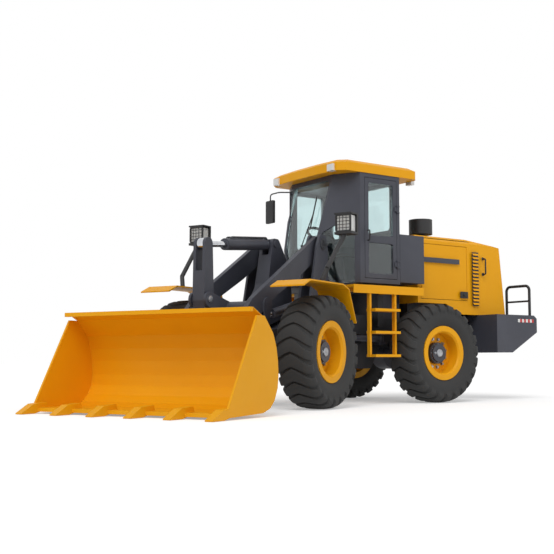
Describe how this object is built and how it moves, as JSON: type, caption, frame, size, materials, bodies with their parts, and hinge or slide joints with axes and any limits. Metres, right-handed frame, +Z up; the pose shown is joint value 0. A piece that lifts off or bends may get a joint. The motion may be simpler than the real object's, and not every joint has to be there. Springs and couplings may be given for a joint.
{
  "type": "wheel loader",
  "caption": "Articulated wheel loader with a hollow glazed cab, a hinged engine hood, lugged tyres and a Z-bar linkage that lifts and tips a toothed bucket.",
  "frame": {"origin": "on the ground, in the middle of the machine's footprint as it stands in the stored pose", "axes": "+X forward along the rear frame, +Y to the operator's left, +Z up"},
  "size_m": [7.667, 3.9305, 3.155],
  "materials": {
    "yellow_paint": "gloss enamel",
    "slate_paint": "satin enamel",
    "tyre_rubber": "matt rubber",
    "rod_steel": "ground and plated",
    "tinted_glass": "clear with a green tint",
    "black_trim": "matt black",
    "lamp_lens": "clear lens over a reflector",
    "engine_iron": "painted casting"
  },
  "bodies": {
    "rear_frame": {"air_precleaner": "black_trim", "cab_glass": "tinted_glass", "cab_mounts": "slate_paint", "cab_roof": "yellow_paint", "cab_shell": "slate_paint", "counterweight": "slate_paint", "engine_block": "engine_iron", "hood": "yellow_paint", "hydraulic_tank": "slate_paint", "ladders": "yellow_paint", "operator_seat": "black_trim", "platforms": "yellow_paint", "rear_axle": "slate_paint", "rear_frame": "slate_paint", "rear_grille": "black_trim", "rear_rails": "black_trim", "steer_brackets": "slate_paint", "steering_column": "black_trim", "work_lamps": "lamp_lens"},
    "front_frame": {"front_axle": "slate_paint", "front_fenders": "yellow_paint", "front_frame": "slate_paint", "head_lamps": "lamp_lens", "lamp_brackets": "black_trim"},
    "boom": {"boom": "slate_paint"},
    "bucket": {"bucket": "yellow_paint", "link_pin": "rod_steel"},
    "bucket_pins": {"bucket_pins": "rod_steel"},
    "cab_door": {"cab_door": "slate_paint", "door_glass": "tinted_glass"},
    "hood_door_left": {"hood_door_left": "yellow_paint"},
    "hood_door_right": {"hood_door_right": "yellow_paint"},
    "wheel_front_left": {"hub_front_left": "slate_paint", "rim_front_left": "yellow_paint", "tyre_front_left": "tyre_rubber"},
    "wheel_front_right": {"hub_front_right": "slate_paint", "rim_front_right": "yellow_paint", "tyre_front_right": "tyre_rubber"},
    "wheel_rear_left": {"hub_rear_left": "slate_paint", "rim_rear_left": "yellow_paint", "tyre_rear_left": "tyre_rubber"},
    "wheel_rear_right": {"hub_rear_right": "slate_paint", "rim_rear_right": "yellow_paint", "tyre_rear_right": "tyre_rubber"},
    "lever_pin": {"lever_pin": "rod_steel"},
    "lift_barrels": {"lift_barrels": "slate_paint"},
    "lift_rods": {"lift_rods": "rod_steel"},
    "steer_barrel_left": {"steer_barrel_left": "slate_paint"},
    "steer_barrel_right": {"steer_barrel_right": "slate_paint"},
    "steer_rod_left": {"steer_rod_left": "rod_steel"},
    "steer_rod_right": {"steer_rod_right": "rod_steel"},
    "tilt_barrel": {"tilt_barrel": "slate_paint"},
    "tilt_lever": {"tilt_lever": "slate_paint"},
    "tilt_link": {"tilt_link": "slate_paint"},
    "tilt_rod": {"tilt_rod": "rod_steel"}
  },
  "joints": [
    {"name": "steering", "type": "hinge", "parent": "rear_frame", "child": "front_frame", "pos_m": [-0.311, -0.818, 0.81], "axis": [0, 0, 1], "range_deg": [-62.5, 13.5]},
    {"name": "wheel_front_left_spin", "type": "hinge", "parent": "front_frame", "child": "wheel_front_left", "pos_m": [0.59755, 0.61258, 0.655], "axis": [-0.4147, 0.91, 0], "continuous": true},
    {"name": "wheel_front_right_spin", "type": "hinge", "parent": "front_frame", "child": "wheel_front_right", "pos_m": [1.36474, -1.07085, 0.655], "axis": [-0.4147, 0.91, 0], "continuous": true},
    {"name": "wheel_rear_left_spin", "type": "hinge", "parent": "rear_frame", "child": "wheel_rear_left", "pos_m": [-1.731, 0.107, 0.655], "axis": [0, 1, 0], "continuous": true},
    {"name": "wheel_rear_right_spin", "type": "hinge", "parent": "rear_frame", "child": "wheel_rear_right", "pos_m": [-1.731, -1.743, 0.655], "axis": [0, 1, 0], "continuous": true},
    {"name": "boom_lift", "type": "hinge", "parent": "front_frame", "child": "boom", "pos_m": [0.12578, -0.61895, 2.03], "axis": [0.4147, -0.91, 0], "range_deg": [0, 78]},
    {"name": "bucket_level", "type": "hinge", "parent": "boom", "child": "bucket_pins", "pos_m": [2.14589, 0.30167, 0.29], "axis": [0.4147, -0.91, 0], "range_deg": [-70.37, 0.02]},
    {"name": "bucket_tilt", "type": "hinge", "parent": "bucket_pins", "child": "bucket", "pos_m": [2.14589, 0.30167, 0.29], "axis": [-0.4147, 0.91, 0], "range_deg": [-45, 50]},
    {"name": "link_swing", "type": "hinge", "parent": "bucket", "child": "tilt_link", "pos_m": [2.18684, 0.32033, 0.62], "axis": [-0.4147, 0.91, 0], "range_deg": [-50.02, 45.02]},
    {"name": "lever_level", "type": "hinge", "parent": "boom", "child": "lever_pin", "pos_m": [1.90931, 0.19385, 1.235], "axis": [0.4147, -0.91, 0], "range_deg": [-0.02, 43.67]},
    {"name": "lever_swing", "type": "hinge", "parent": "lever_pin", "child": "tilt_lever", "pos_m": [1.90931, 0.19385, 1.235], "axis": [-0.4147, 0.91, 0], "range_deg": [-24.81, 22.33]},
    {"name": "tilt_cylinder_swing", "type": "hinge", "parent": "front_frame", "child": "tilt_barrel", "pos_m": [0.58531, -0.40953, 2.003], "axis": [0.4147, -0.91, 0], "range_deg": [-0.02, 89.15]},
    {"name": "tilt_rod_slide", "type": "slide", "parent": "tilt_barrel", "child": "tilt_rod", "axis": [0.9057, 0.4128, -0.0964], "range_m": [-0.26044, 0.2345]},
    {"name": "lift_cylinder_swing", "type": "hinge", "parent": "front_frame", "child": "lift_barrels", "pos_m": [0.19858, -0.58577, 1.33], "axis": [0.4147, -0.91, 0], "range_deg": [-0.02, 69.64]},
    {"name": "lift_rod_slide", "type": "slide", "parent": "lift_barrels", "child": "lift_rods", "axis": [0.8889, 0.4051, -0.2139], "range_m": [-0.001, 0.85599]},
    {"name": "steer_cylinder_left_swing", "type": "hinge", "parent": "rear_frame", "child": "steer_barrel_left", "pos_m": [-1.211, -0.388, 0.85], "axis": [0, 0, 1], "range_deg": [-16.86, 3.66]},
    {"name": "steer_rod_left_slide", "type": "slide", "parent": "steer_barrel_left", "child": "steer_rod_left", "axis": [0.9923, 0.1239, 0], "range_m": [-0.10055, 0.46188]},
    {"name": "steer_cylinder_right_swing", "type": "hinge", "parent": "rear_frame", "child": "steer_barrel_right", "pos_m": [-1.211, -1.248, 0.85], "axis": [0, 0, 1], "range_deg": [-13.71, 2.98]},
    {"name": "steer_rod_right_slide", "type": "slide", "parent": "steer_barrel_right", "child": "steer_rod_right", "axis": [0.9957, 0.0922, 0], "range_m": [-0.51849, 0.11278]},
    {"name": "cab_door_hinge", "type": "hinge", "parent": "rear_frame", "child": "cab_door", "pos_m": [-1.208, -0.014, 2.2], "axis": [0, 0, 1], "range_deg": [0, 105]},
    {"name": "hood_door_left_hinge", "type": "hinge", "parent": "rear_frame", "child": "hood_door_left", "pos_m": [-1.776, -0.164, 1.78], "axis": [0, 0, -1], "range_deg": [0, 75]},
    {"name": "hood_door_right_hinge", "type": "hinge", "parent": "rear_frame", "child": "hood_door_right", "pos_m": [-1.776, -1.472, 1.78], "axis": [0, 0, 1], "range_deg": [0, 75]}
  ],
  "couplings": [
    {"joint": "bucket_level", "follows": "boom_lift", "ratio": -0.9019},
    {"joint": "link_swing", "follows": "bucket_tilt", "ratio": -1},
    {"joint": "lever_level", "follows": "boom_lift", "ratio": 0.55964},
    {"joint": "lever_swing", "follows": "bucket_tilt", "ratio": -0.4958},
    {"joint": "tilt_cylinder_swing", "follows": "boom_lift", "ratio": 1.1427},
    {"joint": "tilt_rod_slide", "follows": "bucket_tilt", "m_per_rad": -0.2973},
    {"joint": "lift_cylinder_swing", "follows": "boom_lift", "ratio": 0.89256},
    {"joint": "lift_rod_slide", "follows": "boom_lift", "m_per_rad": 0.62804},
    {"joint": "steer_cylinder_left_swing", "follows": "steering", "ratio": 0.2694},
    {"joint": "steer_rod_left_slide", "follows": "steering", "m_per_rad": -0.4225},
    {"joint": "steer_cylinder_right_swing", "follows": "steering", "ratio": 0.2191},
    {"joint": "steer_rod_right_slide", "follows": "steering", "m_per_rad": 0.4744}
  ]
}
